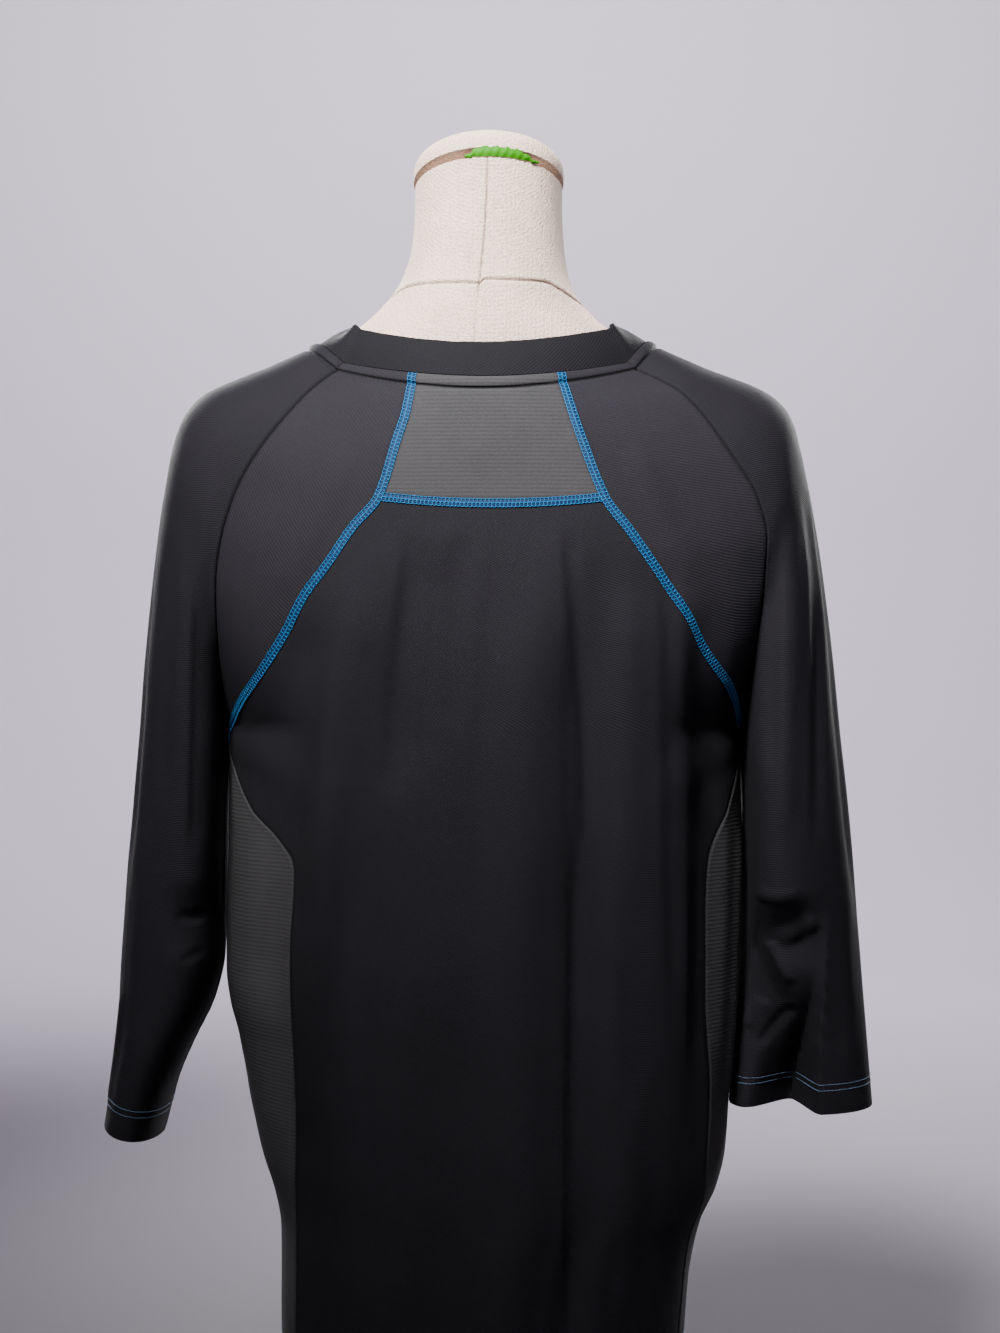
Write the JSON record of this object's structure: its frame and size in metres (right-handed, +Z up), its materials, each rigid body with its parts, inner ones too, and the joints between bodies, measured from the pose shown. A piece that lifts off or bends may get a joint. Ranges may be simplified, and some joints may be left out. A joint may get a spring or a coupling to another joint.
{
  "type": "athletic top on a limbless dress form",
  "caption": "Crew-neck knit athletic top with three-quarter raglan sleeves, mesh yoke and side panels, hanging on a padded limbless dress form with a low round stand.",
  "frame": {"origin": "centre of the stand's round foot, on the surface that it stands on", "axes": "+Z up along the stand's pole, +Y out of the wearer's back, +X to the wearer's left"},
  "size_m": [0.5736, 0.31, 1.0919],
  "materials": {
    "black_rib": "fine rib knit, matt",
    "black_knit": "smooth polyester knit with a soft sheen",
    "grey_mesh": "ribbed mesh knit, matt",
    "form_linen": "cream linen over a hard padded core",
    "stand_steel": "satin black"
  },
  "bodies": {
    "root": {"collar": "black_rib", "back_yoke": "grey_mesh", "shoulder_blade_left": "black_knit", "shoulder_blade_right": "black_knit", "back_panel": "black_knit", "front_panel": "black_knit", "side_panel_left": "grey_mesh", "side_panel_right": "grey_mesh", "sleeve_left": "black_knit", "sleeve_right": "black_knit", "form_body": "form_linen", "neck_cap": "form_linen", "stand_pole": "stand_steel", "stand_base": "stand_steel"}
  },
  "joints": []
}
